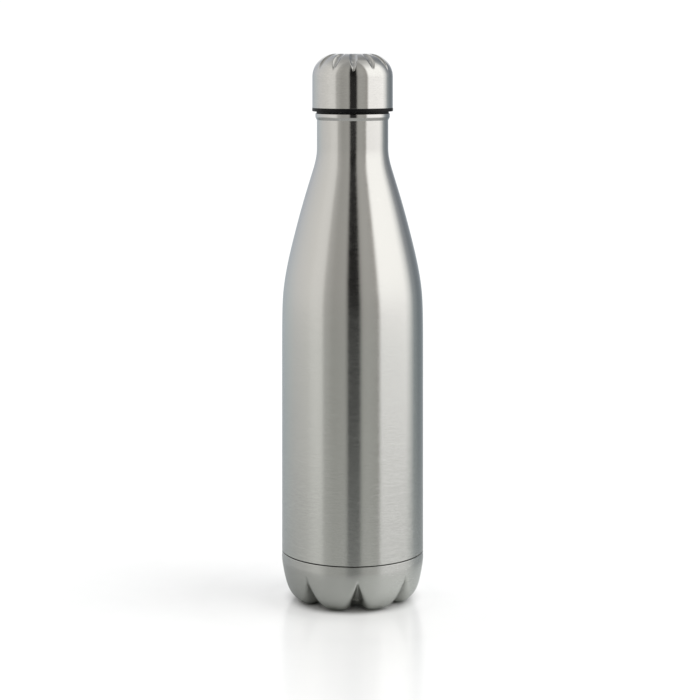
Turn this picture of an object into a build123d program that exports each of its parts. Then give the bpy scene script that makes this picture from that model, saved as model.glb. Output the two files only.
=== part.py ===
from build123d import *
import os
from math import sin, cos, tan, radians

# Vacuum insulated drinking bottle with a cola-bottle outline.
# Millimetres. +Z up, origin in the middle of the feet, front toward -Y.
# Names ending in _R are radii, in _Z heights above the feet, in _T thicknesses.

# ---------------------------------------------------------------- outer wall
SHEET = 0.4              # stainless sheet of both walls
BODY_R = 40.5            # outside radius of the straight body
NECK_R = 20.5            # outside radius of the neck
SHOULDER_Z0 = 160.7      # end of the straight body
SHOULDER_Z1 = 257.7      # start of the straight neck
# Outside of the shoulder between body and neck: (radius, z)
SHOULDER_PTS = [(39.85, 174.2), (37.25, 191.3), (33.2, 208.5),
                (28.55, 225.8), (23.35, 243.0), (21.05, 251.7)]
RIM_Z = 277.5            # top of the drinking lip
LIP_T = 0.6
NECK_TOP_Z = RIM_Z - LIP_T
SKIRT_R = 39.4           # stepped-in foot of the wall, inside the base cup
SKIRT_Z = 20.2           # lower edge of that foot
SEAM_Z = 27.1            # top edge of the base cup
SEAM_GAP = 0.6           # open hairline above it
STEP_Z0 = SEAM_Z + 0.2   # outside of the step from foot to body, lower end
STEP_Z1 = SEAM_Z + SEAM_GAP
STEP_IN_RISE0 = 0.5      # inside of the step above the outside, lower end
STEP_IN_RISE1 = 0.4      # the same, upper end

# --------------------------------------------------------------- inner liner
VACUUM_GAP = 4.0         # between the walls along the body
LINER_R = BODY_R - SHEET - VACUUM_GAP
LINER_IN_R = LINER_R - SHEET
BORE_R = 17.4            # mouth bore
LINER_NECK_R = BORE_R + SHEET
LINER_JOINT_Z = 31.3     # butt weld of the liner bottom
LINER_FLOOR_Z = 27.3     # outside of the liner bottom
LINER_CORNER = 3.4       # outside corner radius of the liner bottom
LIP_R = 21.4             # outside of the rolled lip
LIP_BAND_Z = RIM_Z - 2.4 # lower end of the vertical lip band
LIP_TOE_Z = 273.6        # where the lip runs out on the neck
LIP_CHAMFER = 0.25       # lower edge of the lip band
LIP_ROUND = 0.45         # outer top edge
MOUTH_ROUND = 0.6        # inner top edge

# ------------------------------------------------------- thread and its ridges
STARTS = 2
PITCH = 4.0
LEAD = STARTS * PITCH
THREAD_H = LEAD          # one turn of each start
RIDGE_BASE = 1.0         # half width of a ridge at its root
RIDGE_CREST = 0.55       # half width at its crest
THREAD_Z = 261.2
THREAD_ROOT_IN = BORE_R + 0.2     # sunk into the liner
THREAD_CREST_IN = 16.4   # crest of the ridges in the bore

# ------------------------------------------------------------ stopper and cap
PLUG_R = 16.1
PLUG_WALL = 1.6
PLUG_BORE_R = PLUG_R - PLUG_WALL
PLUG_Z = 253.5
PLUG_FLOOR = 1.8
PLUG_FLOOR_Z = PLUG_Z + PLUG_FLOOR
FLANGE_Z = 278.6
CAP_R = 23.15
CAP_Z = 280.5
CAP_TOP = 311.7
CAP_T = 0.4

# ------------------------------------------------------------------ base cup
CUP_T = 0.5
CUP_STRAIGHT_Z = 23.3


def inset(curve, start_gap, end_gap=None, side=1.0, count=15):
    """Curve beside another; side 1 is left of its direction, -1 right."""
    end_gap = start_gap if end_gap is None else end_gap
    points = []
    tangents = []
    for i in range(count):
        along = i / (count - 1)
        point = curve @ along
        tangent = curve % along
        gap = (start_gap + (end_gap - start_gap) * along) * side
        points.append((point.X - tangent.Y * gap, point.Y + tangent.X * gap))
        tangents.append((tangent.X, tangent.Y))
    return Spline(*points, tangents=[tangents[0], tangents[-1]])


def ridge(helix_r, root_r, crest_r, z0):
    """One helical ridge with a trapezoid section, right-handed."""
    path = Edge.make_helix(LEAD, THREAD_H, helix_r).moved(Location((0, 0, z0)))
    plane = Plane(origin=path @ 0, x_dir=(1, 0, 0), z_dir=path % 0)
    root = root_r - helix_r
    crest = crest_r - helix_r
    with BuildPart() as one:
        with BuildSketch(plane):
            Polygon((root, -RIDGE_BASE), (crest, -RIDGE_CREST),
                    (crest, RIDGE_CREST), (root, RIDGE_BASE), align=None)
        sweep(path=path, is_frenet=True)
    return one.part


shoulder = Spline((BODY_R, SHOULDER_Z0), *SHOULDER_PTS, (NECK_R, SHOULDER_Z1),
                  tangents=[(0, 1), (0, 1)])
shoulder_in = inset(shoulder, SHEET)
liner_out = inset(shoulder, BODY_R - LINER_R, NECK_R - LINER_NECK_R)
liner_in = inset(shoulder, BODY_R - LINER_IN_R, NECK_R - BORE_R)


def outer_shell():
    """Straight body, long shoulder and neck in one wall, with a stepped-in foot."""
    with BuildPart() as shell:
        with BuildSketch(Plane.XZ):
            with BuildLine():
                Polyline((SKIRT_R, SKIRT_Z), (SKIRT_R, STEP_Z0),
                         (BODY_R, STEP_Z1), (BODY_R, SHOULDER_Z0))
                add(shoulder)
                Polyline((NECK_R, SHOULDER_Z1), (NECK_R, NECK_TOP_Z),
                         (NECK_R - SHEET, NECK_TOP_Z),
                         (NECK_R - SHEET, SHOULDER_Z1))
                add(shoulder_in)
                Polyline((BODY_R - SHEET, SHOULDER_Z0),
                         (BODY_R - SHEET, STEP_Z1 + STEP_IN_RISE1),
                         (SKIRT_R - SHEET, STEP_Z0 + STEP_IN_RISE0),
                         (SKIRT_R - SHEET, SKIRT_Z), (SKIRT_R, SKIRT_Z))
            make_face()
        revolve(axis=Axis.Z)
    return shell.part


def inner_liner():
    """Inner wall with the mouth thread and the lip rolled over the neck."""
    thread = ridge(BORE_R, THREAD_ROOT_IN, THREAD_CREST_IN, THREAD_Z)
    with BuildPart() as liner:
        with BuildSketch(Plane.XZ):
            with BuildLine():
                Line((LINER_R, LINER_JOINT_Z), (LINER_R, SHOULDER_Z0))
                add(liner_out)
                Polyline((LINER_NECK_R, SHOULDER_Z1),
                         (LINER_NECK_R, NECK_TOP_Z),
                         (NECK_R, NECK_TOP_Z),
                         (NECK_R, LIP_TOE_Z),
                         (LIP_R - LIP_CHAMFER, LIP_BAND_Z),
                         (LIP_R, LIP_BAND_Z + LIP_CHAMFER),
                         (LIP_R, RIM_Z - LIP_ROUND))
                RadiusArc((LIP_R, RIM_Z - LIP_ROUND),
                          (LIP_R - LIP_ROUND, RIM_Z), -LIP_ROUND)
                Line((LIP_R - LIP_ROUND, RIM_Z), (BORE_R + MOUTH_ROUND, RIM_Z))
                RadiusArc((BORE_R + MOUTH_ROUND, RIM_Z),
                          (BORE_R, RIM_Z - MOUTH_ROUND), -MOUTH_ROUND)
                Line((BORE_R, RIM_Z - MOUTH_ROUND), (BORE_R, SHOULDER_Z1))
                add(liner_in)
                Polyline((LINER_IN_R, SHOULDER_Z0), (LINER_IN_R, LINER_JOINT_Z),
                         (LINER_R, LINER_JOINT_Z))
            make_face()
        revolve(axis=Axis.Z)
        with PolarLocations(0, STARTS):
            add(thread)
    return liner.part


def liner_bottom():
    """Shallow pan welded under the liner, with a rounded corner."""
    flat_r = LINER_R - LINER_CORNER
    corner_z = LINER_FLOOR_Z + LINER_CORNER
    with BuildPart() as bottom:
        with BuildSketch(Plane.XZ):
            with BuildLine():
                Line((0, LINER_FLOOR_Z), (flat_r, LINER_FLOOR_Z))
                RadiusArc((flat_r, LINER_FLOOR_Z), (LINER_R, corner_z),
                          -LINER_CORNER)
                Polyline((LINER_R, corner_z), (LINER_R, LINER_JOINT_Z),
                         (LINER_IN_R, LINER_JOINT_Z), (LINER_IN_R, corner_z))
                RadiusArc((LINER_IN_R, corner_z), (flat_r, LINER_FLOOR_Z + SHEET),
                          LINER_CORNER - SHEET)
                Polyline((flat_r, LINER_FLOOR_Z + SHEET),
                         (0, LINER_FLOOR_Z + SHEET), (0, LINER_FLOOR_Z))
            make_face()
        revolve(axis=Axis.Z)
    return bottom.part


# ------------------------------------------------ outer bottom and seal bead
PAN_R = SKIRT_R - SHEET
PAN_T = CUP_T
PAN_Z = 21.7
PAN_TOP = PAN_Z + PAN_T
DIMPLE_R = 6.0           # raised dimple in the middle of the pan
DIMPLE_Z = PAN_Z + 1.5   # underside of the dimple
DIMPLE_TOP = DIMPLE_Z + PAN_T
SLOPE_UNDER = (-1.0, 0.5)  # dimple slope, underside: top and foot from DIMPLE_R
SLOPE_OVER = (-1.3, 0.2)   # the same on the upper side
PUMP_HOLE_R = 0.9
BEAD_R = 4.2
BEAD_EDGE = 0.5          # height of the straight rim of the bead
BEAD_SAG = 0.7           # bulge below the rim


def outer_bottom():
    """Pan that closes the vacuum space; flange down, dimple with the pump hole."""
    with BuildPart() as pan:
        with BuildSketch(Plane.XZ):
            with BuildLine():
                Polyline((PUMP_HOLE_R, DIMPLE_Z),
                         (DIMPLE_R + SLOPE_UNDER[0], DIMPLE_Z),
                         (DIMPLE_R + SLOPE_UNDER[1], PAN_Z),
                         (PAN_R - PAN_T, PAN_Z),
                         (PAN_R - PAN_T, SKIRT_Z),
                         (PAN_R, SKIRT_Z),
                         (PAN_R, PAN_TOP),
                         (DIMPLE_R + SLOPE_OVER[1], PAN_TOP),
                         (DIMPLE_R + SLOPE_OVER[0], DIMPLE_TOP),
                         (PUMP_HOLE_R, DIMPLE_TOP), close=True)
            make_face()
        revolve(axis=Axis.Z)
    return pan.part


def vacuum_seal_bead():
    """Solder-glass drop under the dimple, closing the pump hole."""
    ball_r = (BEAD_R ** 2 + BEAD_SAG ** 2) / (2 * BEAD_SAG)
    edge_z = DIMPLE_Z - BEAD_EDGE
    with BuildPart() as bead:
        with Locations((0, 0, edge_z - BEAD_SAG + ball_r)):
            Sphere(ball_r)
        split(bisect_by=Plane.XY.offset(edge_z), keep=Keep.BOTTOM)
        with BuildSketch(Plane.XY.offset(edge_z)):
            Circle(BEAD_R)
        extrude(amount=BEAD_EDGE)
    return bead.part


# -------------------------------------------------------------------- getter
GETTER_X = 20.0
GETTER_R = 4.0
GETTER_T = 1.6
GETTER_CHAMFER = 0.3
CLIP_T = 0.3
CLIP_W = 4.0
CLIP_GAP = 0.2           # between the tablet and each leg
CLIP_FOOT = 3.0


def getter_tablet():
    """Round tablet on the pan, toward +X."""
    with BuildPart() as tablet:
        with BuildSketch(Plane.XY.offset(PAN_TOP)):
            with Locations((GETTER_X, 0)):
                Circle(GETTER_R)
        extrude(amount=GETTER_T)
        chamfer(tablet.edges().group_by(Axis.Z)[-1], GETTER_CHAMFER)
    return tablet.part


def getter_clip():
    """Bridge of thin strip over the tablet with two welded feet."""
    x0 = GETTER_X - GETTER_R - CLIP_GAP
    x1 = GETTER_X + GETTER_R + CLIP_GAP
    bridge_z = PAN_TOP + GETTER_T
    foot_z = PAN_TOP + CLIP_T
    with BuildPart() as clip:
        # The XZ plane faces -Y, so this starts on the +Y edge of the strip.
        with BuildSketch(Plane.XZ.offset(-CLIP_W / 2)):
            with BuildLine():
                Polyline((x0 - CLIP_FOOT, PAN_TOP), (x0, PAN_TOP),
                         (x0, bridge_z), (x1, bridge_z),
                         (x1, PAN_TOP), (x1 + CLIP_FOOT, PAN_TOP),
                         (x1 + CLIP_FOOT, foot_z), (x1 + CLIP_T, foot_z),
                         (x1 + CLIP_T, bridge_z + CLIP_T),
                         (x0 - CLIP_T, bridge_z + CLIP_T),
                         (x0 - CLIP_T, foot_z), (x0 - CLIP_FOOT, foot_z),
                         close=True)
            make_face()
        extrude(amount=CLIP_W)
    return clip.part


# ----------------------------------------------------------------- foil wrap
FOIL_T = 0.15
FOIL_Z = 35.7
FOIL_TOP = SHOULDER_Z0 - 3.0
FOIL_SEAM = 1.0          # width of the open seam
FOIL_CUT = 4.0           # radial length of the cut that opens it


def foil_wrap():
    """Reflecting foil round the straight part of the liner, open at the back."""
    with BuildPart() as foil:
        with BuildSketch(Plane.XY.offset(FOIL_Z)):
            Circle(LINER_R + FOIL_T)
            Circle(LINER_R, mode=Mode.SUBTRACT)
            with Locations((0, LINER_R)):
                Rectangle(FOIL_SEAM, FOIL_CUT, mode=Mode.SUBTRACT)
        extrude(amount=FOIL_TOP - FOIL_Z)
    return foil.part


# ------------------------------------------------------------------ base cup
FOOT_R0, FOOT_R1 = 28.8, 26.2     # flat on which the lobes stand
CUP_CENTRE_Z = 6.0
# Outside of the cup, from the straight side down to the flat: (radius, z)
CUP_PTS = [(39.98, 18.3), (38.8, 12.1), (36.3, 5.1), (32.6, 1.35)]
# Underside from the flat in to the raised centre: (radius, z)
CUP_MID = [(20.5, 1.5), (12.0, 4.4)]
LOBES = 8
VALLEY_R, VALLEY_Z = 39.95, 18.4  # head of each valley between two lobes
VALLEY_TURN = -85.8               # polar angle of the first valley
VALLEY_SLOPE = radians(42.0)      # valley floor from vertical
VALLEY_FLARE = radians(18.0)      # flare of each side of a valley
VALLEY_SPAN = (0.3, 30.0)         # wedge ends, distance below the head
# Valley section per millimetre below the head; x is outward from the head.
VALLEY_ROUND = 0.175              # floor radius
VALLEY_FLOOR_X = -tan(VALLEY_SLOPE)
VALLEY_ARC_X = VALLEY_FLOOR_X + VALLEY_ROUND   # centre of the floor radius
VALLEY_RIM_X = 0.35               # open outer end of the wedge

cup_side = Spline((BODY_R, CUP_STRAIGHT_Z), *CUP_PTS, (FOOT_R0, 0),
                  tangents=[(0, -1), (-1, 0)])
cup_mid = Spline((FOOT_R1, 0), *CUP_MID, (0, CUP_CENTRE_Z),
                 tangents=[(-1, 0), (-1, 0)])
cup_side_in = inset(cup_side, CUP_T, side=-1.0)
cup_mid_in = inset(cup_mid, CUP_T, side=-1.0)


def valley_half_width(x):
    """Half width between the straight sides, per millimetre below the head."""
    return (x - VALLEY_ARC_X) * tan(VALLEY_FLARE) + VALLEY_ROUND / cos(VALLEY_FLARE)


def valley_shift(sheet):
    """Move (outward, up) of the wedge head that leaves one sheet on floor and sides."""
    side_y = valley_half_width(0) * cos(VALLEY_FLARE)
    length = (1 + side_y ** 2) ** 0.5
    # Normals of side and floor, as (outward, up)
    side_x, side_z = -sin(VALLEY_FLARE) / length, side_y / length
    floor_x, floor_z = -cos(VALLEY_SLOPE), sin(VALLEY_SLOPE)
    # Both faces move by the sheet along their normals: two linear equations.
    det = side_x * floor_z - side_z * floor_x
    return sheet * (floor_z - side_z) / det, sheet * (side_x - floor_x) / det


def valley(sheet):
    """Rounded wedge that opens outward and down between two lobes."""
    shift_x, shift_z = valley_shift(sheet)
    tangent_x = VALLEY_ARC_X - VALLEY_ROUND * sin(VALLEY_FLARE)
    tangent_y = VALLEY_ROUND * cos(VALLEY_FLARE)
    rim_y = valley_half_width(VALLEY_RIM_X)
    with BuildPart() as wedge:
        for s in VALLEY_SPAN:
            rim0, rim1 = (s * VALLEY_RIM_X, s * rim_y), (s * VALLEY_RIM_X, -s * rim_y)
            arc0, arc1 = (s * tangent_x, s * tangent_y), (s * tangent_x, -s * tangent_y)
            with BuildSketch(Plane((VALLEY_R + shift_x, 0, VALLEY_Z + shift_z - s))):
                with BuildLine():
                    Line(rim0, arc0)
                    ThreePointArc(arc0, (s * VALLEY_FLOOR_X, 0), arc1)
                    Line(arc1, rim1)
                    Line(rim1, rim0)
                make_face()
        loft(ruled=True)
    return wedge.part


def cup_solid(sheet, side, middle):
    """Full body of the lobed cup, drawn in by sheet, bounded by two curves."""
    wedge = valley(sheet)
    side_r = BODY_R - sheet
    with BuildPart() as solid:
        with BuildSketch(Plane.XZ):
            with BuildLine():
                Line((0, SEAM_Z), (side_r, SEAM_Z))
                Line((side_r, SEAM_Z), (side_r, CUP_STRAIGHT_Z))
                add(side)
                Line((FOOT_R0, sheet), (FOOT_R1, sheet))
                add(middle)
                Line((0, CUP_CENTRE_Z + sheet), (0, SEAM_Z))
            make_face()
        revolve(axis=Axis.Z)
        with PolarLocations(0, LOBES, start_angle=VALLEY_TURN):
            add(wedge, mode=Mode.SUBTRACT)
    return solid.part


def base_cup():
    """Pressed foot with lobes: the outside minus the same one sheet further in."""
    outside = cup_solid(0.0, cup_side, cup_mid)
    inside = cup_solid(CUP_T, cup_side_in, cup_mid_in)
    with BuildPart() as cup:
        add(outside)
        add(inside, mode=Mode.SUBTRACT)
    return cup.part


BOND_Z = CUP_STRAIGHT_Z + 0.4
BOND_H = 3.0


def base_bond_ring():
    """Ring between the foot of the outer wall and the base cup."""
    with BuildPart() as ring:
        with BuildSketch(Plane.XY.offset(BOND_Z)):
            Circle(BODY_R - CUP_T)
            Circle(SKIRT_R, mode=Mode.SUBTRACT)
        extrude(amount=BOND_H)
    return ring.part


# ----------------------------------------------------------------- cap shell
CROWN_R = 13.3           # corner radius of the crown
CROWN_C = (CAP_R - CROWN_R, CAP_TOP - CROWN_R)   # its centre: (radius, z)
FLUTES = 12
FLUTE_R = 3.4            # radius of the flute section
FLUTE_DEPTH = 1.5
FLUTE_ARC = 24.0         # radius of the flute floor along its run
FLUTE_DIR = radians(52.0)  # direction of the deepest point from the crown centre
FLUTE_FROM, FLUTE_SWEEP = 4.0, 89.0   # start and extent of the run, degrees
FLUTE_TURN = -88.5       # polar angle of the first flute


def flute(radius):
    """Bent round bar that cuts one flute."""
    reach = CROWN_R - FLUTE_DEPTH - FLUTE_ARC
    centre = (CROWN_C[0] + cos(FLUTE_DIR) * reach,
              CROWN_C[1] + sin(FLUTE_DIR) * reach)
    with BuildPart() as bar:
        with BuildLine(Plane.XZ) as path:
            CenterArc(centre, FLUTE_ARC + FLUTE_R, FLUTE_FROM, FLUTE_SWEEP)
        with BuildSketch(Plane(origin=path.line @ 0, z_dir=path.line % 0)):
            Circle(radius)
        sweep()
    return bar.part


def cap_solid(sheet):
    """Full fluted dome, drawn in by sheet."""
    bar = flute(FLUTE_R + sheet)
    side_r = CAP_R - sheet
    top = CAP_TOP - sheet
    corner = CROWN_R - sheet
    with BuildPart() as dome:
        with BuildSketch(Plane.XZ):
            with BuildLine():
                Polyline((0, top), (0, CAP_Z), (side_r, CAP_Z),
                         (side_r, top - corner))
                RadiusArc((side_r, top - corner), (side_r - corner, top), -corner)
                Line((side_r - corner, top), (0, top))
            make_face()
        revolve(axis=Axis.Z)
        with PolarLocations(0, FLUTES, start_angle=FLUTE_TURN):
            add(bar, mode=Mode.SUBTRACT)
    return dome.part


def cap_shell():
    """Drawn dome whose shoulder carries flutes; the inside follows the flutes."""
    outside = cap_solid(0.0)
    inside = cap_solid(CAP_T)
    with BuildPart() as shell:
        add(outside)
        add(inside, mode=Mode.SUBTRACT)
    return shell.part


# ---------------------------------------------------------------- cap insert
INSERT_R = CAP_R - CAP_T
DECK_T = 2.0
DECK_TOP = CAP_Z + DECK_T
SPIGOT_H = 2.8
WALL_T = 1.8
WALL_IN_R = INSERT_R - WALL_T
WALL_TOP = 297.2
POST_R = 5.5
RIBS = 6
RIB_T = 1.4
RIB_H = 12.0
RIB_OVERLAP = 1.0        # rib length sunk into post and wall together


def cap_insert():
    """Deck on the flange, spigot into the plug, wall, ribs and centre post."""
    with BuildPart() as insert:
        with BuildSketch(Plane.XY.offset(CAP_Z)):
            Circle(INSERT_R)
        extrude(amount=DECK_T)
        with BuildSketch(Plane.XY.offset(CAP_Z)):
            Circle(PLUG_BORE_R)
        extrude(amount=-SPIGOT_H)
        # Outer wall, then the post up to the crown
        for radius, top in ((INSERT_R, WALL_TOP), (POST_R, CAP_TOP - CAP_T)):
            with BuildSketch(Plane.XY.offset(DECK_TOP)):
                Circle(radius)
                Circle(radius - WALL_T, mode=Mode.SUBTRACT)
            extrude(amount=top - DECK_TOP)
        with BuildSketch(Plane.XY.offset(DECK_TOP)):
            with PolarLocations((POST_R + WALL_IN_R) / 2, RIBS):
                Rectangle(WALL_IN_R - POST_R + RIB_OVERLAP, RIB_T)
        extrude(amount=RIB_H)
    return insert.part


# ------------------------------------------------------------------- stopper
PLUG_ROUND = 1.6         # lower outside corner
PLUG_THREAD_Z = THREAD_Z - 1.8
PLUG_ROOT = PLUG_R - 0.4 # ridges sunk into the plug wall
PLUG_CREST = 17.1
FLANGE_R = 23.25
FLANGE_CHAMFER = 0.25
FOAM_GAP = 0.2           # between foam and plug wall
FOAM_H = 22.0
FOAM_CHAMFER = 0.6
GASKET_R0, GASKET_R1 = 16.45, 20.8
GASKET_CHAMFER = 0.3


def stopper_body():
    """Hollow plug with flange and outside thread."""
    thread = ridge(PLUG_R, PLUG_ROOT, PLUG_CREST, PLUG_THREAD_Z)
    with BuildPart() as plug:
        with BuildSketch(Plane.XZ):
            with BuildLine():
                Polyline((0, PLUG_Z), (PLUG_R - PLUG_ROUND, PLUG_Z))
                RadiusArc((PLUG_R - PLUG_ROUND, PLUG_Z),
                          (PLUG_R, PLUG_Z + PLUG_ROUND), -PLUG_ROUND)
                Polyline((PLUG_R, PLUG_Z + PLUG_ROUND), (PLUG_R, FLANGE_Z),
                         (FLANGE_R - FLANGE_CHAMFER, FLANGE_Z),
                         (FLANGE_R, FLANGE_Z + FLANGE_CHAMFER),
                         (FLANGE_R, CAP_Z), (PLUG_BORE_R, CAP_Z),
                         (PLUG_BORE_R, PLUG_FLOOR_Z), (0, PLUG_FLOOR_Z),
                         (0, PLUG_Z))
            make_face()
        revolve(axis=Axis.Z)
        with PolarLocations(0, STARTS):
            add(thread)
    return plug.part


def stopper_foam():
    """Foam cylinder standing on the plug floor."""
    with BuildPart() as foam:
        with BuildSketch(Plane.XY.offset(PLUG_FLOOR_Z)):
            Circle(PLUG_BORE_R - FOAM_GAP)
        extrude(amount=FOAM_H)
        chamfer(foam.edges(), FOAM_CHAMFER)
    return foam.part


def rim_gasket():
    """Soft flat ring between the flange and the lip."""
    with BuildPart() as gasket:
        with BuildSketch(Plane.XZ):
            with BuildLine():
                Polyline((GASKET_R0, RIM_Z), (GASKET_R1 - GASKET_CHAMFER, RIM_Z),
                         (GASKET_R1, RIM_Z + GASKET_CHAMFER),
                         (GASKET_R1, FLANGE_Z), (GASKET_R0, FLANGE_Z), close=True)
            make_face()
        revolve(axis=Axis.Z)
    return gasket.part


# Each piece is labelled and saved under the name of its function.
PIECES = (outer_shell, inner_liner, liner_bottom, outer_bottom, vacuum_seal_bead,
          getter_tablet, getter_clip, foil_wrap, base_cup, base_bond_ring,
          cap_shell, cap_insert, stopper_body, stopper_foam, rim_gasket)

os.makedirs("parts", exist_ok=True)
for build in PIECES:
    part = build()
    part.label = build.__name__
    export_step(part, f"parts/{part.label}.step")
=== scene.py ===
import bpy, math
import numpy as np
from mathutils import Vector, Matrix

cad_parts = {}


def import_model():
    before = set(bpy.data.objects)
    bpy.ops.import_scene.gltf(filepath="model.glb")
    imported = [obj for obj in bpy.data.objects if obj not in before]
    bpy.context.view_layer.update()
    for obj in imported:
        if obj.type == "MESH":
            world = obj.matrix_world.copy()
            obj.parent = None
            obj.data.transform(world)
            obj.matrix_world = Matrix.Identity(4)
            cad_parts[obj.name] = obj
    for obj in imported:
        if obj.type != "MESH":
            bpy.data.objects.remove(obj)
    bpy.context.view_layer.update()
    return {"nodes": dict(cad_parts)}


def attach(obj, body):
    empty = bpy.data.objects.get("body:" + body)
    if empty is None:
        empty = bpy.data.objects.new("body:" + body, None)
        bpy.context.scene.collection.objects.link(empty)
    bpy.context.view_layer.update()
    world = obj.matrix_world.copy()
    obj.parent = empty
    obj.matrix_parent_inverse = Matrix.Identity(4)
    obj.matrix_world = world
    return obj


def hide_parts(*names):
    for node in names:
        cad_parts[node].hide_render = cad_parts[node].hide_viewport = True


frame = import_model()
NODES = frame["nodes"]

# ------------------------------------------------------------------ sizes, mm
BODY_R, NECK_R = 40.5, 20.5
SEAM_Z, SHEET, CUP_T = 27.1, 0.4, 0.5
RIM_Z, LIP_R, BORE_R = 277.5, 21.4, 17.4
CAP_R, CAP_Z, CAP_TOP, CAP_T = 23.15, 280.5, 311.7, 0.4
FLANGE_R, FLANGE_Z = 23.25, 278.6
MM = 0.001


# ------------------------------------------------------------- curves in 2-D
def spline(pts, t0, t1, n):
    """Clamped cubic through the points, chord-length parameter, unit end tangents."""
    p = np.array(pts, float)
    h = np.linalg.norm(np.diff(p, axis=0), axis=1)
    u = np.concatenate([[0], np.cumsum(h)])
    m = len(p)
    A = np.zeros((m, m))
    b = np.zeros((m, 2))
    A[0, 0] = A[-1, -1] = 1.0
    b[0], b[-1] = t0, t1
    for i in range(1, m - 1):
        A[i, i - 1], A[i, i], A[i, i + 1] = h[i], 2 * (h[i - 1] + h[i]), h[i - 1]
        b[i] = 3 * (h[i] * (p[i] - p[i - 1]) / h[i - 1] + h[i - 1] * (p[i + 1] - p[i]) / h[i])
    d = np.linalg.solve(A, b)
    out = []
    for v in np.linspace(0, u[-1], n):
        i = min(int(np.searchsorted(u, v, side="right")) - 1, m - 2)
        s = (v - u[i]) / h[i]
        out.append((2 * s**3 - 3 * s**2 + 1) * p[i] + (s**3 - 2 * s**2 + s) * h[i] * d[i]
                   + (-2 * s**3 + 3 * s**2) * p[i + 1] + (s**3 - s**2) * h[i] * d[i + 1])
    return np.array(out)


def rounded(pts, hold=0.25, seg=6):
    """Polyline of (r, z) or (r, z, fillet radius); rounds corners and holds long runs."""
    m = len(pts)
    out = []
    for i, q in enumerate(pts):
        p = np.array(q[:2], float)
        rad = q[2] if len(q) > 2 else 0.0
        if rad <= 0 or i in (0, m - 1):
            out.append(p)
            continue
        a = np.array(pts[i - 1][:2], float) - p
        b = np.array(pts[i + 1][:2], float) - p
        la, lb = np.linalg.norm(a), np.linalg.norm(b)
        a, b = a / la, b / lb
        half = math.acos(max(-1, min(1, float(a @ b)))) / 2
        cut = min(rad / math.tan(half), 0.48 * la, 0.48 * lb)
        rr = cut * math.tan(half)
        mid = (a + b) / np.linalg.norm(a + b)
        c = p + mid * (rr / math.sin(half))
        s, e = p + a * cut - c, p + b * cut - c
        ang = math.atan2(s[0] * e[1] - s[1] * e[0], float(s @ e))
        for k in range(seg + 1):
            t = ang * k / seg
            out.append(c + np.array([s[0] * math.cos(t) - s[1] * math.sin(t),
                                     s[0] * math.sin(t) + s[1] * math.cos(t)]))
    held = [out[0]]
    for p in out[1:]:
        d = np.linalg.norm(p - held[-1])
        if d < 1e-6:
            continue
        if d > 4 * hold:
            a = held[-1]
            held.append(a + (p - a) * hold / d)
            held.append(p - (p - a) * hold / d)
        held.append(p)
    return [tuple(map(float, p)) for p in held]


def offset_line(pts, d):
    """The line moved sideways by d (to the left of its direction)."""
    p = np.array(pts, float)
    t = np.gradient(p, axis=0)
    t /= np.linalg.norm(t, axis=1)[:, None]
    d = np.linspace(*d, len(p)) if isinstance(d, tuple) else d
    n = np.stack([-t[:, 1], t[:, 0]], 1)
    return p + (n.T * d).T


# ------------------------------------------------------------------ meshes
def new_object(name, verts, faces, sharp=35.0):
    me = bpy.data.meshes.new(name)
    me.from_pydata((np.array(verts, float) * MM).tolist(), [], faces)
    me.validate()
    me.polygons.foreach_set("use_smooth", [True] * len(me.polygons))
    me.update()
    if sharp:
        me.set_sharp_from_angle(angle=math.radians(sharp))
    ob = bpy.data.objects.new(name, me)
    bpy.context.scene.collection.objects.link(ob)
    return ob


def lathe(name, profile, segs=256, closed=True, relief=None, sharp=35.0):
    """Turned piece. profile runs along (r, z[, flag]); relief(angle, r, z, flag)
    returns the radius where a row carries a thread."""
    ang = np.linspace(0, 2 * math.pi, segs, endpoint=False)
    ca, sa = np.cos(ang), np.sin(ang)
    verts, rows = [], []
    for row in profile:
        r, z = row[0], row[1]
        if abs(r) < 1e-9:
            rows.append([len(verts)])
            verts.append((0.0, 0.0, z))
            continue
        rr = relief(ang, r, z) if (relief and len(row) > 2 and row[2]) else np.full(segs, r)
        rows.append(list(range(len(verts), len(verts) + segs)))
        verts.extend(zip(rr * ca, rr * sa, [z] * segs))
    faces = []
    pairs = list(zip(rows[:-1], rows[1:]))
    if closed:
        pairs.append((rows[-1], rows[0]))
    for a, b in pairs:
        if len(a) == 1 and len(b) == 1:
            continue
        for i in range(segs):
            j = (i + 1) % segs
            if len(a) == 1:
                faces.append((a[0], b[j], b[i]))
            elif len(b) == 1:
                faces.append((a[i], a[j], b[0]))
            else:
                faces.append((a[i], a[j], b[j], b[i]))
    ob = new_object(name, verts, faces, sharp)
    fix_normals(ob)
    return ob


def fix_normals(ob):
    """Turns the faces outward when the closed volume comes out negative."""
    me = ob.data
    n = len(me.vertices)
    co = np.zeros(n * 3)
    me.vertices.foreach_get("co", co)
    co = co.reshape(-1, 3)
    vol = 0.0
    me.calc_loop_triangles()
    tri = np.zeros(len(me.loop_triangles) * 3, np.int64)
    me.loop_triangles.foreach_get("vertices", tri)
    t = co[tri.reshape(-1, 3)]
    vol = float(np.einsum("ij,ij->i", t[:, 0], np.cross(t[:, 1], t[:, 2])).sum())
    if vol < 0:
        me.flip_normals()
        me.update()


def smax(a, b, k):
    h = np.clip(0.5 + 0.5 * (a - b) / k, 0, 1)
    return b + (a - b) * h + k * h * (1 - h)


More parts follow.
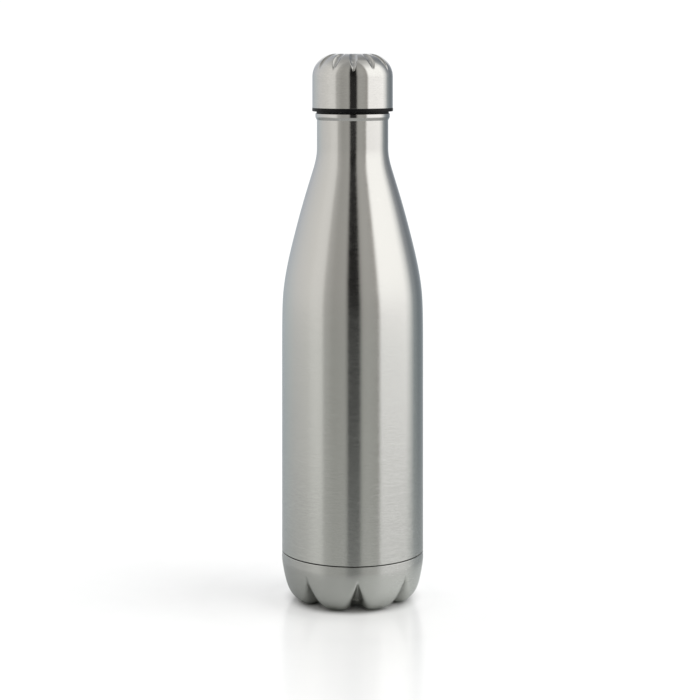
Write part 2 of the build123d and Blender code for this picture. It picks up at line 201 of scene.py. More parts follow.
def pressed(name, profile, period, half_cols, turn, cutter, soft, depth, thick, even=0.75):
    """Sheet piece turned from profile (outside line, with normals) into which the
    same hollow is pressed once per period. Columns crowd where the sheet is steep."""
    P = np.array([p[:2] for p in profile], float)
    N = np.array([p[2:4] for p in profile], float)
    half = math.pi / period
    fine = np.linspace(0, half, 500)

    def solve(phi):                                   # phi: rows x columns
        lo = np.full(phi.shape, -depth)
        hi = np.full(phi.shape, 0.001)
        for _ in range(26):
            t = 0.5 * (lo + hi)
            r = P[:, :1] + t * N[:, :1]
            z = P[:, 1:] + t * N[:, 1:]
            f = smax(t, -cutter(r * np.cos(phi), r * np.sin(phi), z), soft(z))
            lo = np.where(f < 0, t, lo)
            hi = np.where(f < 0, hi, t)
        t = 0.5 * (lo + hi)
        return P[:, :1] + t * N[:, :1], P[:, 1:] + t * N[:, 1:]

    phi = np.repeat(fine[None], len(P), 0)
    r, z = solve(phi)
    xyz = np.stack([r * np.cos(phi), r * np.sin(phi), z], 2)
    step = np.linalg.norm(np.diff(xyz, axis=1), axis=2)
    arc = np.concatenate([np.zeros((len(P), 1)), np.cumsum(step, 1)], 1)
    arc /= np.maximum(arc[:, -1:], 1e-9)
    share = even * arc + (1 - even) * (fine / half)[None]
    cols = np.linspace(0, 1, half_cols + 1)
    cols = np.stack([np.interp(cols, s, fine) for s in share])
    for _ in range(3):                                # calm row-to-row drift
        cols[1:-1] = 0.25 * cols[:-2] + 0.5 * cols[1:-1] + 0.25 * cols[2:]
    r, z = solve(cols)
    # one period: -half .. +half without the last column
    full_phi = np.concatenate([-cols[:, :0:-1], cols[:, :-1]], 1)
    full_r = np.concatenate([r[:, :0:-1], r[:, :-1]], 1)
    full_z = np.concatenate([z[:, :0:-1], z[:, :-1]], 1)
    n = full_phi.shape[1]
    A = np.concatenate([full_phi + turn + 2 * half * k for k in range(period)], 1)
    R = np.tile(full_r, (1, period))
    Z = np.tile(full_z, (1, period))
    X = np.stack([R * np.cos(A), R * np.sin(A), Z], 2)      # rows x cols x 3
    rows, segs = X.shape[0], X.shape[1]
    dv = np.gradient(X, axis=0)
    du = (np.roll(X, -1, 1) - np.roll(X, 1, 1))
    nn = np.cross(du, dv)
    nn /= np.maximum(np.linalg.norm(nn, axis=2)[:, :, None], 1e-12)
    rad = np.stack([np.cos(A), np.sin(A), 0 * A], 2)
    outward = N[:, None, :1] * rad + N[:, None, 1:] * np.array([0, 0, 1.0])
    sign = np.sign((nn * outward).sum(2).mean())
    nn *= sign
    inner = X - nn * thick
    centre_o = np.array([[0, 0, Z[-1].mean()]])
    centre_i = centre_o - np.array([[0, 0, N[-1, 1] * thick]])
    verts = np.concatenate([X.reshape(-1, 3), inner.reshape(-1, 3), centre_o, centre_i])
    faces = []
    g = lambda base, i, j: base + i * segs + (j % segs)
    off = rows * segs
    for i in range(rows - 1):
        for j in range(segs):
            faces.append((g(0, i, j), g(0, i, j + 1), g(0, i + 1, j + 1), g(0, i + 1, j)))
            faces.append((g(off, i, j), g(off, i + 1, j), g(off, i + 1, j + 1), g(off, i, j + 1)))
    co, ci = 2 * off, 2 * off + 1
    for j in range(segs):
        faces.append((g(0, rows - 1, j), g(0, rows - 1, j + 1), co))
        faces.append((g(off, rows - 1, j + 1), g(off, rows - 1, j), ci))
        faces.append((g(0, 0, j + 1), g(0, 0, j), g(off, 0, j), g(off, 0, j + 1)))
    ob = new_object(name, verts, faces, 50.0)
    fix_normals(ob)
    return ob


def line_with_normals(parts):
    """Joins lines of (r, z) into one list with unit tangents along it; the callers turn them into outer
    normals.
    """
    p = [parts[0][0]]
    for part in parts:
        for q in part:
            if np.linalg.norm(np.array(q) - np.array(p[-1])) > 1e-4:
                p.append(q)
    p = np.array(p, float)
    t = np.gradient(p, axis=0)
    t /= np.linalg.norm(t, axis=1)[:, None]
    return p, t


# ------------------------------------------------------------------ pieces
def ride(ob, body, slot, *nodes):
    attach(ob, body)
    if nodes:
        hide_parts(*nodes)
    return ob


SHOULDER = [(BODY_R, 147.0), (40.40, 161.0), (39.85, 174.2), (37.25, 191.3), (33.2, 208.5),
            (28.55, 225.8), (23.35, 243.0), (21.05, 251.7), (NECK_R, 257.7)]
sh = spline(SHOULDER, (0, 1), (0, 1), 130)
sh_in = offset_line(sh, SHEET)
ln_out = offset_line(sh, (4.0 + SHEET, NECK_R - 17.8))
ln_in = offset_line(sh, (4.0 + 2 * SHEET, NECK_R - BORE_R))

# outer wall
outer = rounded([(39.4, 20.2), (39.4, 27.3), (40.5, 27.7, 0.25), (40.5, 147.0)], 0.3)
outer = [p for p in outer if p[1] < 146.5] + [tuple(p) for p in sh]
top = rounded([(NECK_R, 257.7), (NECK_R, 276.9), (NECK_R - SHEET, 276.9),
               (NECK_R - SHEET, 257.7)], 0.3)[1:-1]
back = [tuple(p) for p in sh_in[::-1]]
low = rounded([(40.1, 147.0), (40.1, 28.1), (39.0, 27.8), (39.0, 20.2)], 0.3)[1:]
outer_wall = lathe("outer_wall", outer + top + back + low, 288)


# threads
def ridge_height(ang, z, z0, lead=8.0, starts=2, turns=1.0, base=1.0, crest=0.5, fade=0.30):
    h = np.zeros_like(ang)
    for k in range(starts):
        rel = np.mod(ang - 2 * math.pi * k / starts, 2 * math.pi)
        for w in (0, 1):
            a = rel + 2 * math.pi * w - (math.pi if w else 0) * 0
            if w and turns <= 1.0:
                continue
            zc = z0 + lead * a / (2 * math.pi)
            d = np.abs(z - zc)
            prof = np.clip((base - d) / (base - crest), 0, 1)
            prof = prof * prof * (3 - 2 * prof)
            end = np.clip(np.minimum(a, 2 * math.pi * turns - a) / fade, 0, 1)
            end = end * end * (3 - 2 * end)
            h = np.maximum(h, prof * end)
    return h


# inner wall with rolled lip and mouth thread
lip = rounded([(17.8, 258.0), (17.8, 276.9), (20.5, 276.9), (20.5, 273.9), (20.56, 273.62),
               (21.3, 275.05, 0.5), (LIP_R, 275.45, 0.3), (LIP_R, RIM_Z, 0.45),
               (BORE_R, RIM_Z, 0.62), (BORE_R, 271.7)], 0.2, 8)
thread_rows = [(BORE_R, z, 1) for z in np.arange(271.6, 258.9, -0.17)]
liner = ([(36.1, 31.3), (36.1, 31.6), (36.1, 146.6)] + [tuple(p) for p in ln_out[:-1]]
         + lip + thread_rows + [(BORE_R, 258.3)] + [tuple(p) for p in ln_in[::-1]]
         + [(35.7, 146.6), (35.7, 31.6), (35.7, 31.3)])
inner_wall = lathe("inner_wall", liner, 224, relief=lambda a, r, z: r - 1.0 * ridge_height(a, z, 261.2))

# cap stopper
plug = rounded([(0, 253.5), (16.1, 253.5, 1.6), (16.1, 257.1)], 0.3, 8)
plug_t = [(16.1, z, 1) for z in np.arange(257.2, 269.7, 0.17)]
plug_u = rounded([(16.1, 269.8), (16.1, FLANGE_Z, 0.25), (FLANGE_R, FLANGE_Z, 0.35),
                  (FLANGE_R, CAP_Z, 0.12), (14.5, CAP_Z), (14.5, 255.3, 0.5), (0, 255.3)], 0.25, 7)
stopper = lathe("stopper_plug", plug + plug_t + plug_u, 224,
                relief=lambda a, r, z: r + 1.0 * ridge_height(a, z, 259.4), closed=False)

gasket = lathe("rim_seal", rounded([(16.45, 277.5), (20.8, 277.5, 0.3), (20.8, 278.6, 0.2),
                                    (16.45, 278.6, 0.2), (16.45, 277.5)], 0.2, 6), 192)

# foot cup with eight lobes
V_R, V_Z, V_RUN, V_FLARE, V_ROUND = 39.95, 18.4, math.radians(42.0), math.radians(18.0), 0.175


def wedge(x, y, z):
    s = V_Z - z
    c = -math.tan(V_RUN) + V_ROUND
    X = x - V_R - c * s
    Y = np.abs(y)
    cb, sb = math.cos(V_FLARE), math.sin(V_FLARE)
    behind = X * cb + Y * sb < 0
    q = np.maximum(np.hypot(X, Y), 1e-9)
    d = np.where(behind, q, Y * cb - X * sb)
    gx = np.where(behind, X / q, -sb)
    grad = np.sqrt(1 + (c * -gx - V_ROUND) ** 2)
    f = (d - V_ROUND * s) / grad
    above = -s / math.cos(V_RUN)
    return np.where(s > 0, f, np.maximum(np.hypot(np.hypot(x - V_R, y), s), above))


cup_side = spline([(BODY_R, 23.3), (39.98, 18.3), (38.8, 12.1), (36.3, 5.1), (32.6, 1.35),
                   (28.8, 0)], (0, -1), (-1, 0), 54)
cup_mid = spline([(26.2, 0), (20.5, 1.5), (12.0, 4.4), (0, 6.0)], (-1, 0), (-1, 0), 26)[:-1]
cup_p, cup_t = line_with_normals([
    rounded([(40.12, SEAM_Z), (BODY_R, SEAM_Z, 0.2), (BODY_R, 23.3)], 0.3, 4)[1:],
    [tuple(p) for p in cup_side], [(27.9, 0), (27.1, 0)], [tuple(p) for p in cup_mid]])
cup_line = [(p[0], p[1], -t[1], t[0]) for p, t in zip(cup_p, cup_t)]
base_cup = pressed("base_cup_lobed", cup_line, 8, 32, math.radians(-85.8), wedge,
                   lambda z: np.clip(5.0 - 0.25 * z, 1.3, 5.0), 10.5, CUP_T)

# cap shell with twelve flutes, each drawn out to a point down the side
C_R = 13.3
C_C = (9.85, 298.4)
F_DEPTH, F_TIP, F_DEEP, F_HEEL = 1.4, 3.1, 10.0, 15.0
F_R0, F_R1 = 0.9, 2.5


def smooth(v):
    v = np.clip(v, 0, 1)
    return v * v * (3 - 2 * v)


def tube(x, y, z):
    """Round-bottomed groove along the dome's outline; s runs up the outline."""
    dx, dz = x - C_C[0], z - C_C[1]
    s = np.where(dz < 0, dz, np.where(dx < 0, C_R * math.pi / 2 - dx,
                                      C_R * np.arctan2(dz, np.maximum(dx, 1e-9))))
    h = np.where(dz < 0, dx, np.where(dx < 0, dz, np.hypot(dx, dz))) - C_R
    d = F_DEPTH * smooth((s - F_TIP) / (F_DEEP - F_TIP)) * smooth((21.6 - s) / (21.6 - F_HEEL))
    d = d - 0.5 * np.clip((F_TIP + 0.6 - s) / 3, 0, 1) - 0.5 * np.clip((s - 20.6) / 3, 0, 1)
    r = F_R0 + (F_R1 - F_R0) * smooth((s - F_TIP) / (12.0 - F_TIP))
    return np.hypot(h - (r - d), y) - r


arc = [(C_C[0] + C_R * math.cos(a), C_C[1] + C_R * math.sin(a))
       for a in np.linspace(0, math.pi / 2, 64)]
cap_p, cap_t = line_with_normals([
    rounded([(22.9, CAP_Z), (CAP_R, CAP_Z, 0.18), (CAP_R, 298.1)], 0.3, 4)[1:], arc,
    [(r, CAP_TOP) for r in (9.4, 8.6, 7.4, 6.0, 4.4, 2.8, 1.2)]])
cap_line = [(p[0], p[1], t[1], -t[0]) for p, t in zip(cap_p, cap_t)]
cap_dome = pressed("cap_dome", cap_line, 12, 26, math.radians(-88.5), tube,
                   lambda z: 0.32 + 0 * z, 3.0, CAP_T, 0.6)

ride(outer_wall, "bottle", "shell_steel", "outer_shell")
ride(inner_wall, "bottle", "liner_steel", "inner_liner")
ride(base_cup, "bottle", "foot_steel", "base_cup")
ride(stopper, "cap", "stopper_plastic", "stopper_body")
ride(gasket, "seal_ring", "silicone", "rim_gasket")
ride(cap_dome, "cap", "cap_steel", "cap_shell")


# --------------------------------------------------------------- materials
class Nodes:
    def __init__(self, name):
        self.mat = bpy.data.materials.new(name)
        self.mat.use_nodes = True
        self.nt = self.mat.node_tree
        self.nt.nodes.clear()
        self.out = self.nt.nodes.new("ShaderNodeOutputMaterial")

    def add(self, kind, **props):
        n = self.nt.nodes.new(kind)
        for k, v in props.items():
            setattr(n, k, v)
        return n

    def link(self, a, b):
        self.nt.links.new(a, b)

    def math(self, op, a, b=None, c=None, clamp=False):
        n = self.add("ShaderNodeMath", operation=op, use_clamp=clamp)
        for i, v in enumerate((a, b, c)):
            if v is None:
                continue
            if isinstance(v, (int, float)):
                n.inputs[i].default_value = v
            else:
                self.link(v, n.inputs[i])
        return n.outputs[0]

    def noise(self, vec, scale, detail=2.0, rough=0.5, dims="3D"):
        n = self.add("ShaderNodeTexNoise", noise_dimensions=dims)
        n.inputs["Scale"].default_value = scale
        n.inputs["Detail"].default_value = detail
        n.inputs["Roughness"].default_value = rough
        self.link(vec, n.inputs["Vector"])
        return n.outputs["Fac"]

    def remap(self, v, a, b, c, d):
        n = self.add("ShaderNodeMapRange")
        self.link(v, n.inputs["Value"])
        for k, x in zip(("From Min", "From Max", "To Min", "To Max"), (a, b, c, d)):
            n.inputs[k].default_value = x
        return n.outputs["Result"]


def turned_coords(m, along, across):
    """Vector whose noise runs in rings round the axis: slow along the ring
    (per metre of a 20 mm circle), quick across it."""
    tc = m.add("ShaderNodeTexCoord")
    sep = m.add("ShaderNodeSeparateXYZ")
    m.link(tc.outputs["Object"], sep.inputs[0])
    x, y, z = sep.outputs
    r = m.math("SQRT", m.math("ADD", m.math("MULTIPLY", x, x), m.math("MULTIPLY", y, y)))
    r1 = m.math("MAXIMUM", r, 1e-5)
    cx = m.math("MULTIPLY", m.math("DIVIDE", x, r1), along)
    cy = m.math("MULTIPLY", m.math("DIVIDE", y, r1), along)
    s = m.math("MULTIPLY", m.math("SUBTRACT", z, r), across)
    comb = m.add("ShaderNodeCombineXYZ")
    for i, v in enumerate((cx, cy, s)):
        m.link(v, comb.inputs[i])
    return comb.outputs[0], tc.outputs["Object"], r


def scuffs(m):
    """Sparse hair-thin handling marks: contour lines of a stretched noise, masked."""
    tc = m.add("ShaderNodeTexCoord")
    warp = m.add("ShaderNodeMapping")
    warp.inputs["Scale"].default_value = (150.0, 150.0, 420.0)
    warp.inputs["Rotation"].default_value = (0.10, -0.14, 0.0)
    m.link(tc.outputs["Object"], warp.inputs["Vector"])
    n = m.noise(warp.outputs[0], 1.0, 0.5, 0.5)
    off = m.math("ABSOLUTE", m.math("SUBTRACT", n, 0.5))
    line = m.remap(off, 0.0, 0.010, 1.0, 0.0)
    return m.math("MULTIPLY", line, m.remap(m.noise(tc.outputs["Object"], 70.0, 2.0), 0.52, 0.64, 0.0, 1.0))


def brushed(name, color, rough, aniso, bump, streak=0.05, tint=0.02, smudge=0.03, lines=1.0,
            painted_shade_below=None, marks=0.0, low_red=1.0):
    m = Nodes(name)
    vec, obj, r = turned_coords(m, 7.0, 1000.0)
    # three sets of rings: hairlines, brush lines, broad bands
    fine = m.noise(vec, 4.0 * lines, 2.0, 0.6)
    mid = m.noise(vec, 1.3 * lines, 2.0, 0.55)
    broad = m.noise(vec, 0.22 * lines, 2.0, 0.5)
    soft = m.noise(obj, 22.0, 3.0, 0.5)
    mix = m.math("ADD", m.math("MULTIPLY", fine, 0.25),
                 m.math("ADD", m.math("MULTIPLY", mid, 0.55), m.math("MULTIPLY", broad, 0.20)))
    ro = m.math("ADD", m.remap(mix, 0.3, 0.7, rough - streak, rough + streak),
                m.remap(soft, 0.3, 0.7, -smudge, smudge))
    val = m.math("ADD", m.remap(mix, 0.3, 0.7, 1.0 - tint, 1.0 + tint),
                 m.remap(soft, 0.35, 0.65, -0.01, 0.01))
    if marks:
        val = m.math("ADD", val, m.math("MULTIPLY", scuffs(m), marks))
    if painted_shade_below is not None:                     # painted shade: the skirt inside the seam gap is darkened to a tenth
        z = m.add("ShaderNodeSeparateXYZ")
        m.link(obj, z.inputs[0])
        val = m.math("MULTIPLY", val, m.remap(z.outputs[2], painted_shade_below - 0.00015,
                                              painted_shade_below + 0.00005, 0.10, 1.0))
    col = m.add("ShaderNodeVectorMath", operation="SCALE")
    col.inputs[0].default_value = color
    m.link(val, col.inputs["Scale"])
    if low_red < 1.0:                                # cooler steel down the straight body
        z = m.add("ShaderNodeSeparateXYZ")
        m.link(obj, z.inputs[0])
        cool = m.add("ShaderNodeCombineXYZ")
        cool.inputs[1].default_value = cool.inputs[2].default_value = 1.0
        m.link(m.remap(z.outputs[2], 0.145, 0.190, low_red, 1.0), cool.inputs[0])
        dip = m.add("ShaderNodeVectorMath", operation="MULTIPLY")
        m.link(col.outputs[0], dip.inputs[0])
        m.link(cool.outputs[0], dip.inputs[1])
        col = dip
    bs = m.add("ShaderNodeBsdfPrincipled")
    m.link(col.outputs[0], bs.inputs["Base Color"])
    bs.inputs["Metallic"].default_value = 1.0
    m.link(ro, bs.inputs["Roughness"])
    bs.inputs["Anisotropic"].default_value = aniso
    bs.inputs["Anisotropic Rotation"].default_value = 0.25
    tan = m.add("ShaderNodeTangent", direction_type="RADIAL", axis="Z")
    m.link(tan.outputs[0], bs.inputs["Tangent"])
    bm = m.add("ShaderNodeBump")
    bm.inputs["Strength"].default_value = bump
    bm.inputs["Distance"].default_value = 0.00003
    m.link(mix, bm.inputs["Height"])
    m.link(bm.outputs[0], bs.inputs["Normal"])
    m.link(bs.outputs[0], m.out.inputs[0])
    return m.mat


def plastic(name, color, rough, grain=900.0, bump=0.25, spec=0.5, mottle=0.12, coat=0.0):
    m = Nodes(name)
    tc = m.add("ShaderNodeTexCoord")
    g = m.noise(tc.outputs["Object"], grain, 3.0, 0.6)
    big = m.noise(tc.outputs["Object"], grain / 14, 2.0, 0.5)
    col = m.add("ShaderNodeVectorMath", operation="SCALE")
    col.inputs[0].default_value = color
    m.link(m.remap(m.math("ADD", m.math("MULTIPLY", g, 0.5), m.math("MULTIPLY", big, 0.5)),
                   0.3, 0.7, 1 - mottle, 1 + mottle), col.inputs["Scale"])
    bs = m.add("ShaderNodeBsdfPrincipled")
    m.link(col.outputs[0], bs.inputs["Base Color"])
    m.link(m.remap(big, 0.3, 0.7, rough - 0.05, rough + 0.05), bs.inputs["Roughness"])
    bs.inputs["Specular IOR Level"].default_value = spec
    bs.inputs["Coat Weight"].default_value = coat
    bm = m.add("ShaderNodeBump")
    bm.inputs["Strength"].default_value = bump
    bm.inputs["Distance"].default_value = 0.00004
    m.link(g, bm.inputs["Height"])
    m.link(bm.outputs[0], bs.inputs["Normal"])
    m.link(bs.outputs[0], m.out.inputs[0])
    return m.mat


def set_mat(ob, mat):
    if not ob.material_slots:
        ob.data.materials.append(mat)
    for s in ob.material_slots:
        s.link = "OBJECT"
        s.material = mat


STEEL = (0.66, 0.65, 0.63)
# painted shade on the shell below 27.7 mm, the skirt seen only through the seam gap
m_shell = brushed("brushed_shell_steel", STEEL, 0.18, 0.85, 1.0, streak=0.075, tint=0.020, smudge=0.012,
                  painted_shade_below=0.0277, marks=0.06, low_red=0.982)
m_cap = brushed("brushed_cap_steel", STEEL, 0.115, 0.8, 0.4, streak=0.035, tint=0.07, smudge=0.01, marks=0.07)
m_foot = brushed("satin_foot_steel", (0.62, 0.62, 0.603), 0.26, 0.6, 0.05, streak=0.015, tint=0.012, lines=2.6, smudge=0.008)
m_liner = brushed("polished_liner_steel", (0.68, 0.67, 0.655), 0.09, 0.3, 0.05, streak=0.02,
                  smudge=0.01)
m_plain = brushed("rolled_plain_steel", (0.60, 0.60, 0.59), 0.36, 0.2, 0.3, lines=0.6)
m_copper = brushed("copper_foil", (0.82, 0.42, 0.28), 0.22, 0.2, 0.6, lines=0.5)
m_black = plastic("black_moulded_plastic", (0.0045, 0.0045, 0.0049), 0.36, 1400.0, 0.3, 0.17)
m_silicone = plastic("black_silicone", (0.006, 0.006, 0.0062), 0.50, 2200.0, 0.2, 0.25)
m_white = plastic("natural_moulded_plastic", (0.80, 0.80, 0.77), 0.42, 900.0, 0.2)
m_foam = plastic("closed_cell_foam", (0.86, 0.85, 0.82), 0.85, 1600.0, 0.9, 0.2)
m_getter = plastic("sintered_getter", (0.16, 0.16, 0.165), 0.7, 2600.0, 0.9, 0.5)
m_glass = plastic("solder_glass", (0.20, 0.15, 0.09), 0.12, 400.0, 0.1, 0.6, coat=0.5)
m_bond = plastic("cured_adhesive", (0.70, 0.68, 0.60), 0.5, 700.0, 0.5)

for ob, mat in ((outer_wall, m_shell), (cap_dome, m_cap), (base_cup, m_foot), (inner_wall, m_liner),
                (stopper, m_black), (gasket, m_silicone)):
    set_mat(ob, mat)
for node, mat in (("liner_bottom", m_liner), ("outer_bottom", m_plain), ("getter_clip", m_plain),
                  ("foil_wrap", m_copper), ("vacuum_seal_bead", m_glass), ("getter_tablet", m_getter),
                  ("base_bond_ring", m_bond), ("cap_insert", m_white), ("stopper_foam", m_foam)):
    set_mat(NODES[node], mat)


# -------------------------------------------------------------------- stage
def floor():
    me = bpy.data.meshes.new("floor")
    s = 60.0
    me.from_pydata([(-s, -s, 0), (s, -s, 0), (s, s, 0), (-s, s, 0)], [], [(0, 1, 2, 3)])
    ob = bpy.data.objects.new("floor", me)
    bpy.context.scene.collection.objects.link(ob)
    m = Nodes("pale_floor")
    lp = m.add("ShaderNodeLightPath")
    tc = m.add("ShaderNodeTexCoord")
    far = m.add("ShaderNodeVectorMath", operation="LENGTH")
    m.link(tc.outputs["Object"], far.inputs[0])
    d = far.outputs["Value"]
    n = m.noise(tc.outputs["Object"], 60.0, 2.0, 0.5)
    cam = m.add("ShaderNodeVectorMath", operation="SCALE")
    cam.inputs[0].default_value = (0.81, 0.81, 0.81)
    m.link(m.remap(n, 0.3, 0.7, 0.995, 1.005), cam.inputs["Scale"])
    # as the metal mirrors it, the floor is a mid grey that thins out with
    # distance and lets the studio through
    place = m.add("ShaderNodeSeparateXYZ")
    m.link(tc.outputs["Object"], place.inputs[0])
    # painted light and shade: near the foot the mirrored floor is lighter toward +X, where the right key
    # falls, and darker toward -X
    near_painted_light = m.remap(place.outputs[0], -0.045, 0.045, 0.36, 0.60)
    wide = m.remap(d, 0.15, 1.2, 0.36, 0.18)
    blend = m.remap(d, 0.06, 0.13, 0.0, 1.0)
    grey = m.math("ADD", m.math("MULTIPLY", near_painted_light, m.math("SUBTRACT", 1.0, blend)),
                  m.math("MULTIPLY", wide, blend))
    dim = m.add("ShaderNodeCombineXYZ")
    for i, k in enumerate((0.985, 1.015, 0.985)):
        m.link(m.math("MULTIPLY", grey, k), dim.inputs[i])
    mix = m.add("ShaderNodeMix", data_type="RGBA")
    m.link(lp.outputs["Is Glossy Ray"], mix.inputs["Factor"])
    m.link(cam.outputs[0], mix.inputs["A"])
    m.link(dim.outputs[0], mix.inputs["B"])
    bs = m.add("ShaderNodeBsdfPrincipled")
    m.link(mix.outputs["Result"], bs.inputs["Base Color"])
    bs.inputs["Roughness"].default_value = 0.20
    bs.inputs["Specular IOR Level"].default_value = 0.5
    # light the steel throws back on the floor round the foot
    bs.inputs["Emission Color"].default_value = (1, 1, 1, 1)
    m.link(m.math("MULTIPLY", lp.outputs["Is Camera Ray"],
                  m.math("MULTIPLY", m.remap(d, 0.033, 0.040, 0.0, 1.0),
                         m.math("ADD", m.remap(d, 0.036, 0.048, 0.07, 0.0),
                                m.remap(d, 0.036, 0.085, 0.08, 0.0)))),
           bs.inputs["Emission Strength"])
    # the camera sees the floor run out into plain white
    glow = m.add("ShaderNodeEmission")
    glow.inputs[0].default_value = (1, 1, 1, 1)
    glow.inputs[1].default_value = 1.05
    seen = m.add("ShaderNodeMixShader")
    m.link(m.math("MULTIPLY", lp.outputs["Is Camera Ray"], m.remap(d, 0.30, 0.75, 0.0, 1.0)),
           seen.inputs[0])
    m.link(bs.outputs[0], seen.inputs[1])
    m.link(glow.outputs[0], seen.inputs[2])
    clear = m.add("ShaderNodeBsdfTransparent")
    keep = m.math("ADD", m.math("ADD", m.remap(d, 0.045, 0.11, 1.0, 0.62),
                                m.remap(d, 0.11, 0.50, 0.0, -0.34)),
                  m.remap(d, 0.50, 1.5, 0.0, -0.28))
    seer = m.math("MAXIMUM", lp.outputs["Is Shadow Ray"], lp.outputs["Is Glossy Ray"])
    let = m.math("MULTIPLY", seer, m.math("SUBTRACT", 1.0, keep))
    last = m.add("ShaderNodeMixShader")
    m.link(let, last.inputs[0])
    m.link(seen.outputs[0], last.inputs[1])
    m.link(clear.outputs[0], last.inputs[2])
    m.link(last.outputs[0], m.out.inputs[0])
    ob.data.materials.append(m.mat)
    return ob


floor()

# World: white to the camera; to the object a plain studio of soft boxes, as
# brightness by direction. Angle 0 is behind the camera, + toward +X.
# The last two numbers are what is left of it just below the horizon and
# further down toward the floor.
STUDIO = [(-180, (0.51, 0.535, 0.58), 0.93, 0.52), (-165, (0.51, 0.535, 0.58), 0.93, 0.52),
          (-150, (0.58, 0.60, 0.645), 0.93, 0.48), (-130, (0.69, 0.705, 0.725), 0.93, 0.44),
          (-108, (0.77, 0.77, 0.76), 0.94, 0.38), (-80, (0.84, 0.83, 0.80), 0.96, 0.47),
          (-70, (0.885, 0.875, 0.845), 0.98, 0.70), (-60, (0.89, 0.88, 0.85), 0.99, 0.87),
          (-52, (0.86, 0.85, 0.82), 0.98, 0.87), (-46, (0.55, 0.545, 0.52), 0.93, 0.88),
          (-40, (0.505, 0.50, 0.475), 0.92, 0.92), (-35, (0.455, 0.45, 0.425), 0.90, 0.96),
          (-30, (0.435, 0.43, 0.405), 0.90, 0.97), (-22, (0.445, 0.44, 0.415), 0.92, 0.94),
          (-13, (0.47, 0.465, 0.44), 0.93, 0.90),
          (-9.0, (0.30, 0.295, 0.28), 1.0, 0.9), (-7.6, (0.016, 0.0155, 0.015), 2.2, 4.6),
          (11.4, (0.016, 0.0155, 0.015), 2.2, 4.6), (13.3, (0.30, 0.295, 0.28), 0.97, 0.98),
          (17, (0.485, 0.48, 0.455), 0.88, 0.99), (26, (0.50, 0.495, 0.47), 0.88, 0.99),
          (34, (0.475, 0.47, 0.445), 0.89, 0.97), (40, (0.44, 0.425, 0.40), 0.86, 0.94),
          (47, (1.39, 1.39, 1.36), 0.79, 0.52), (70, (1.39, 1.39, 1.36), 0.81, 0.48),
          (96, (1.38, 1.38, 1.35), 0.87, 0.39), (107, (1.02, 1.03, 1.02), 0.86, 0.38),
          (119, (0.40, 0.42, 0.44), 0.93, 0.58), (135, (0.24, 0.26, 0.285), 0.95, 0.83),
          (150, (0.26, 0.28, 0.31), 0.95, 0.83), (163, (0.41, 0.43, 0.47), 0.93, 0.63),
          (180, (0.51, 0.535, 0.58), 0.93, 0.52)]
# Some edges don't stand quite upright: degrees added above and below the horizon.
LEAN = {-9.0: (0.0, 0.6), -7.6: (0.0, 0.6), 11.4: (-1.2, 0.0), 13.3: (-1.2, 0.0),
        40: (0.5, 2.2), 47: (-0.7, 0.8)}


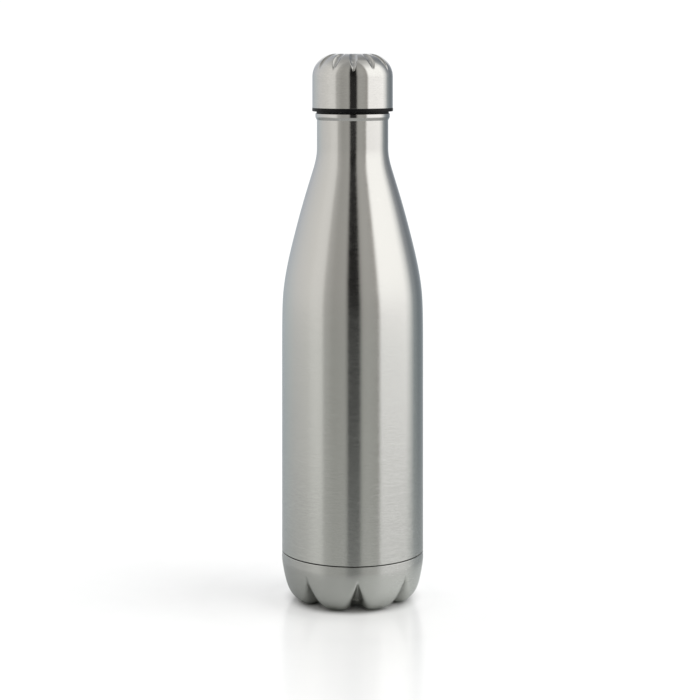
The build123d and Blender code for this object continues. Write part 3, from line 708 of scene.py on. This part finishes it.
def world():
    w = bpy.data.worlds.new("studio")
    bpy.context.scene.world = w
    w.use_nodes = True
    m = Nodes.__new__(Nodes)
    m.nt = w.node_tree
    m.nt.nodes.clear()
    out = m.add("ShaderNodeOutputWorld")
    tc = m.add("ShaderNodeTexCoord")
    sep = m.add("ShaderNodeSeparateXYZ")
    m.link(tc.outputs["Generated"], sep.inputs[0])
    x, y, z = sep.outputs
    turn = m.math("ARCTAN2", x, m.math("MULTIPLY", y, -1.0))
    f = m.math("ADD", m.math("DIVIDE", turn, 2 * math.pi), 0.5)
    sides = []
    for level in range(3):
        ramp = m.add("ShaderNodeValToRGB")
        cr = ramp.color_ramp
        cr.interpolation = "LINEAR"
        while len(cr.elements) > 1:
            cr.elements.remove(cr.elements[-1])
        for i, (a, c, k1, k2) in enumerate(STUDIO):
            pos = (a + LEAN.get(a, (0.0, 0.0))[min(level, 1)] + 180.0) / 360.0
            e = cr.elements[0] if i == 0 else cr.elements.new(pos)
            e.position = pos
            k = (1.0, k1, k2)[level]
            tone = (1.0, 1.0, 1.0) if level == 0 else (0.95, 1.01, 0.99) if abs(a) > 110 else \
                (1.0, 1.0, 1.0) if level == 1 else (0.985, 1.015, 0.985)
            if level and 40 < a < 100:
                tone = (1.012, 0.997, 1.012)
            e.color = (*[min(v * k * g / 1.6, 1.0) for v, g in zip(c, tone)], 1)
        m.link(f, ramp.inputs[0])
        sides.append(ramp.outputs[0])
    for level, (top, foot) in ((1, (0.15, -0.15)), (2, (-0.15, -0.32))):
        fade = m.add("ShaderNodeMix", data_type="RGBA")
        m.link(m.remap(z, top, foot, 0.0, 1.0), fade.inputs["Factor"])
        m.link(sides[0], fade.inputs["A"])
        m.link(sides[level], fade.inputs["B"])
        sides[0] = fade.outputs["Result"]
    side = m.add("ShaderNodeVectorMath", operation="SCALE")
    m.link(sides[0], side.inputs[0])
    side.inputs["Scale"].default_value = 1.6
    # toward the zenith the boxes give way to one even ceiling, below the
    # horizon to the dimmer floor of the room
    up = m.remap(z, 0.60, 0.95, 0.0, 0.8)
    down = m.remap(z, -0.35, -0.65, 0.0, 1.0)
    mix1 = m.add("ShaderNodeMix", data_type="RGBA")
    m.link(up, mix1.inputs["Factor"])
    m.link(side.outputs[0], mix1.inputs["A"])
    mix1.inputs["B"].default_value = (0.39, 0.39, 0.38, 1)
    mix2 = m.add("ShaderNodeMix", data_type="RGBA")
    m.link(down, mix2.inputs["Factor"])
    m.link(mix1.outputs["Result"], mix2.inputs["A"])
    mix2.inputs["B"].default_value = (0.40, 0.40, 0.39, 1)
    # a white wall far behind the bottle, which the glossy floor mirrors
    wall = m.math("MULTIPLY", m.remap(m.math("ABSOLUTE", turn), 2.70, 2.92, 0.0, 1.0),
                  m.math("MULTIPLY", m.remap(z, 0.10, 0.20, 0.0, 1.0), m.remap(z, 0.40, 0.48, 1.0, 0.0)))
    mix3 = m.add("ShaderNodeMix", data_type="RGBA")
    m.link(wall, mix3.inputs["Factor"])
    m.link(mix2.outputs["Result"], mix3.inputs["A"])
    mix3.inputs["B"].default_value = (1.05, 1.05, 1.05, 1)
    room = m.add("ShaderNodeBackground")
    m.link(mix3.outputs["Result"], room.inputs[0])
    white = m.add("ShaderNodeBackground")
    white.inputs[0].default_value = (1, 1, 1, 1)
    white.inputs[1].default_value = 1.05
    lp = m.add("ShaderNodeLightPath")
    sel = m.add("ShaderNodeMixShader")
    m.link(lp.outputs["Is Camera Ray"], sel.inputs[0])
    m.link(room.outputs[0], sel.inputs[1])
    m.link(white.outputs[0], sel.inputs[2])
    m.link(sel.outputs[0], out.inputs[0])


world()


def sky(name, direction, spread, strength):
    """Distant soft box: even light on an endless floor, not mirrored in the metal."""
    ld = bpy.data.lights.new(name, "SUN")
    ld.angle = math.radians(spread)
    ld.energy = strength
    ob = bpy.data.objects.new(name, ld)
    bpy.context.scene.collection.objects.link(ob)
    ob.rotation_euler = (-Vector(direction)).to_track_quat("-Z", "Y").to_euler()
    ob.visible_glossy = False
    return ob


sky("ceiling", (0.0, 0.15, 1.0), 100.0, 2.0)
sky("right_key", (1.0, -0.15, 0.62), 60.0, 0.95)


# ------------------------------------------------------------------- camera
HOME = Vector((-0.0015, -1.092, 0.3107))
cd = bpy.data.cameras.new("photo_camera")
cam = bpy.data.objects.new("photo_camera", cd)
bpy.context.scene.collection.objects.link(cam)
cd.sensor_width = 36.0
cd.lens = 97.7
cd.clip_start, cd.clip_end = 0.05, 50.0
cam.location = HOME
cam.rotation_euler = (math.radians(90), 0, 0)
# A level camera with a lens shift keeps the bottle's sides upright. The shift
# belongs to this one standpoint, so a driver takes it off anywhere else.
spot = bpy.data.objects.new("photo_standpoint", None)
bpy.context.scene.collection.objects.link(spot)
spot.location = HOME
curve = cd.driver_add("shift_y")
for mod in list(curve.modifiers):
    curve.modifiers.remove(mod)
curve.driver.type = "SUM"
var = curve.driver.variables.new()
var.name = "d"
var.type = "LOC_DIFF"
var.targets[0].id = cam
var.targets[1].id = spot
for away, shift in ((0.0, -0.421), (0.02, 0.0)):
    curve.keyframe_points.insert(away, shift).interpolation = "CONSTANT"
bpy.context.scene.camera = cam

sc = bpy.context.scene
sc.view_settings.view_transform = "Standard"
sc.view_settings.look = "None"
sc.view_settings.exposure = 0.0
sc.view_settings.gamma = 1.0
